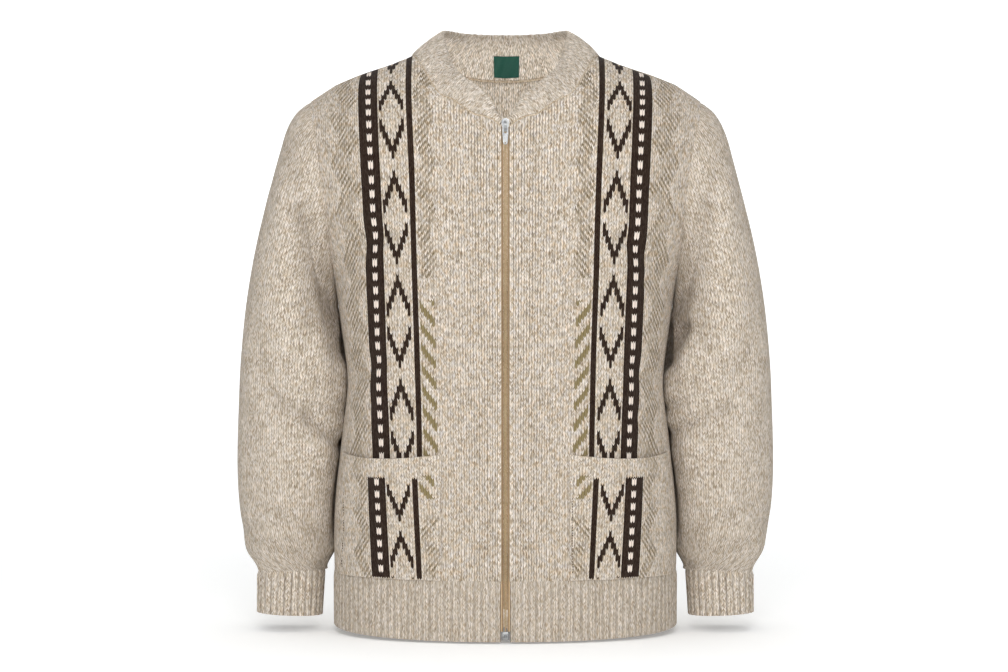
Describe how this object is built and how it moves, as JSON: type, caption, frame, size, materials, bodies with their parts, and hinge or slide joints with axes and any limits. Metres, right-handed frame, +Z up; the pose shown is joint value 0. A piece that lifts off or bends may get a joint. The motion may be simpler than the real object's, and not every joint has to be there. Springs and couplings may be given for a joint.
{
  "type": "knitted full-zip sweater",
  "caption": "Hollow knitted full-zip sweater with column pattern, ribbed neckband, hem and cuffs, set-in sleeves and patch pockets, filled out as worn.",
  "frame": {"origin": "midway between the two neck points, where the wearer's shoulders hold the sweater", "axes": "+Z up, the front with the zip faces -Y, +X towards the wearer's left sleeve"},
  "size_m": [0.6458, 0.2682, 0.7188],
  "materials": {
    "marled_knit": "beige and brown marled stocking stitch with dark brown and khaki columns",
    "ribbed_knit": "marled rib",
    "zip_tape": "tan woven tape",
    "zip_coil": "tan nylon coil",
    "nickel": "nickel-plated zinc, satin bright",
    "label": "plain dark green woven satin"
  },
  "bodies": {
    "garment": {"front_left": "marled_knit", "front_right": "marled_knit", "back": "marled_knit", "sleeve_left": "marled_knit", "sleeve_right": "marled_knit", "cuff_left": "ribbed_knit", "cuff_right": "ribbed_knit", "hem_front_left": "ribbed_knit", "hem_front_right": "ribbed_knit", "hem_back": "ribbed_knit", "collar": "ribbed_knit", "pocket_left": "marled_knit", "pocket_right": "marled_knit", "zip_tape_left": "zip_tape", "zip_tape_right": "zip_tape", "zip_chain": "zip_coil", "zip_box": "nickel", "zip_slider": "nickel", "neck_label": "label"},
    "pull": {"zip_pull": "nickel"}
  },
  "joints": [
    {"name": "pull_swing", "type": "hinge", "parent": "garment", "child": "pull", "pos_m": [0, -0.1216, -0.0885], "axis": [-1, 0, 0], "range_deg": [0, 150]}
  ]
}
